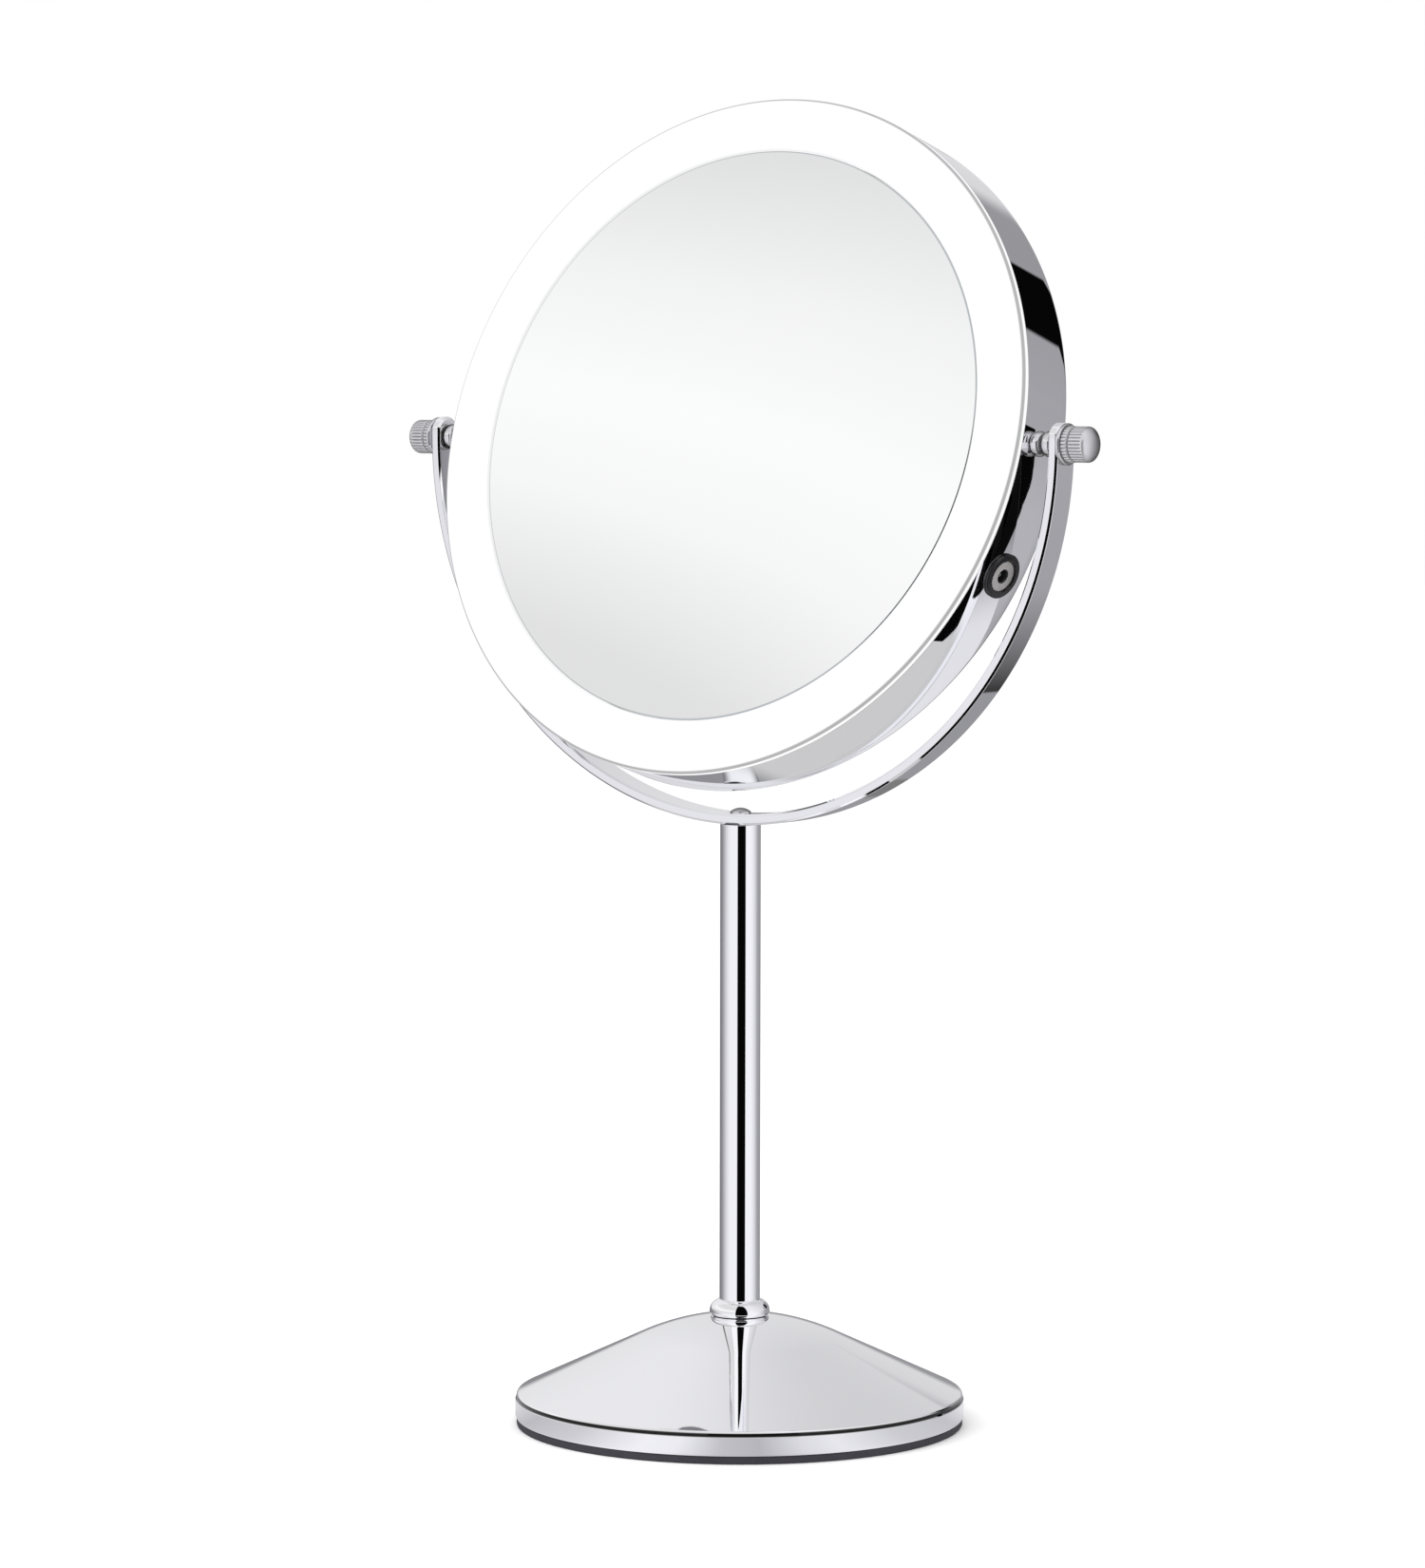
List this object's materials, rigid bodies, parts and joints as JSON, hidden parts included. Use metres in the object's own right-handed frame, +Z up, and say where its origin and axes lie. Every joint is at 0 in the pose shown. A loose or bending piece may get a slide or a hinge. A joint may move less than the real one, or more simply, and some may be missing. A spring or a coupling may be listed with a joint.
{
  "type": "lighted vanity mirror",
  "caption": "Free-standing two-sided vanity mirror: a drum-shaped head with a light ring tilts in a half-circle yoke on a column and a round weighted base.",
  "frame": {"origin": "centre of the underside of the soft base pad, on the column axis", "axes": "+Z up along the column, +X along the tilt axis through both thumb screws, the lit magnifying mirror faces -Y"},
  "size_m": [0.259, 0.1406, 0.4135],
  "materials": {
    "pad_rubber": "dense matt foam rubber with a fine grain",
    "plain_steel": "plain turned steel",
    "base_iron": "rough sand cast iron",
    "chrome": "bright mirror-polished chrome plating",
    "chrome_screw": "bright chrome plating, slightly soft in the slot",
    "chrome_knob": "bright chrome plating over fine straight ribs",
    "chrome_drum": "bright mirror-polished chrome plating",
    "zinc_steel": "bright zinc-plated steel",
    "nylon": "natural nylon",
    "brass": "turned brass",
    "diffuser": "milky white acrylic light diffuser",
    "front_glass": "silvered concave glass",
    "rear_glass": "silvered flat glass",
    "foam_tape": "white double-sided foam tape",
    "frame_plastic": "white moulded plastic",
    "lamp_board": "white solder mask",
    "lamps": "yellow phosphor under clear resin",
    "circuit_board": "green solder mask",
    "circuit_parts": "black moulded epoxy",
    "battery_foil": "soft aluminium laminate pouch",
    "contact_rubber": "soft conductive foam rubber",
    "socket_black": "black moulded plastic",
    "socket_grey": "warm light grey moulded plastic",
    "wire_red": "red wire sleeve",
    "wire_white": "white wire sleeve"
  },
  "bodies": {
    "stand": {"base_pad": "pad_rubber", "base_plate": "plain_steel", "base_weight": "base_iron", "base_cover": "chrome", "base_screws": "zinc_steel", "column_bolt": "zinc_steel", "column_bolt_washer": "zinc_steel", "column_foot_plug": "plain_steel", "column_collar": "chrome", "column_tube": "chrome", "column_head_plug": "plain_steel", "yoke": "chrome", "yoke_screw": "chrome_screw", "arm_bush_left": "nylon", "arm_bush_right": "nylon", "arm_washer_left": "chrome", "arm_washer_right": "chrome", "outer_bead_left": "chrome", "outer_bead_right": "chrome", "friction_washer_left": "nylon", "friction_washer_right": "nylon"},
    "head": {"inner_bead_left": "chrome", "inner_bead_right": "chrome", "pivot_boss_left": "brass", "pivot_boss_right": "brass", "drum": "chrome_drum", "light_ring": "diffuser", "front_mirror": "front_glass", "front_mirror_tape": "foam_tape", "rear_mirror": "rear_glass", "rear_mirror_tape": "foam_tape", "inner_frame": "frame_plastic", "led_board": "lamp_board", "leds": "lamps", "control_board": "circuit_board", "board_parts": "circuit_parts", "board_screws": "zinc_steel", "battery": "battery_foil", "battery_tape": "foam_tape", "touch_board": "circuit_board", "touch_contact": "contact_rubber", "socket_bezel": "socket_black", "socket_insert": "socket_grey", "socket_body": "socket_black", "socket_pin": "brass", "socket_nut": "zinc_steel", "socket_wires": "wire_red", "battery_wires": "wire_red", "led_wires": "wire_white", "touch_wires": "wire_white"},
    "thumb_screw_left": {"knob_left": "chrome_knob", "knob_stud_left": "zinc_steel"},
    "thumb_screw_right": {"knob_right": "chrome_knob", "knob_stud_right": "zinc_steel"}
  },
  "joints": [
    {"name": "head_tilt", "type": "hinge", "parent": "stand", "child": "head", "pos_m": [0, 0, 0.3076], "axis": [1, 0, 0], "continuous": true},
    {"name": "knob_right_turn", "type": "hinge", "parent": "head", "child": "thumb_screw_right", "pos_m": [0.125, 0, 0.3076], "axis": [1, 0, 0], "range_deg": [0, 180]},
    {"name": "knob_left_turn", "type": "hinge", "parent": "head", "child": "thumb_screw_left", "pos_m": [-0.125, 0, 0.3076], "axis": [-1, 0, 0], "range_deg": [0, 180]}
  ]
}
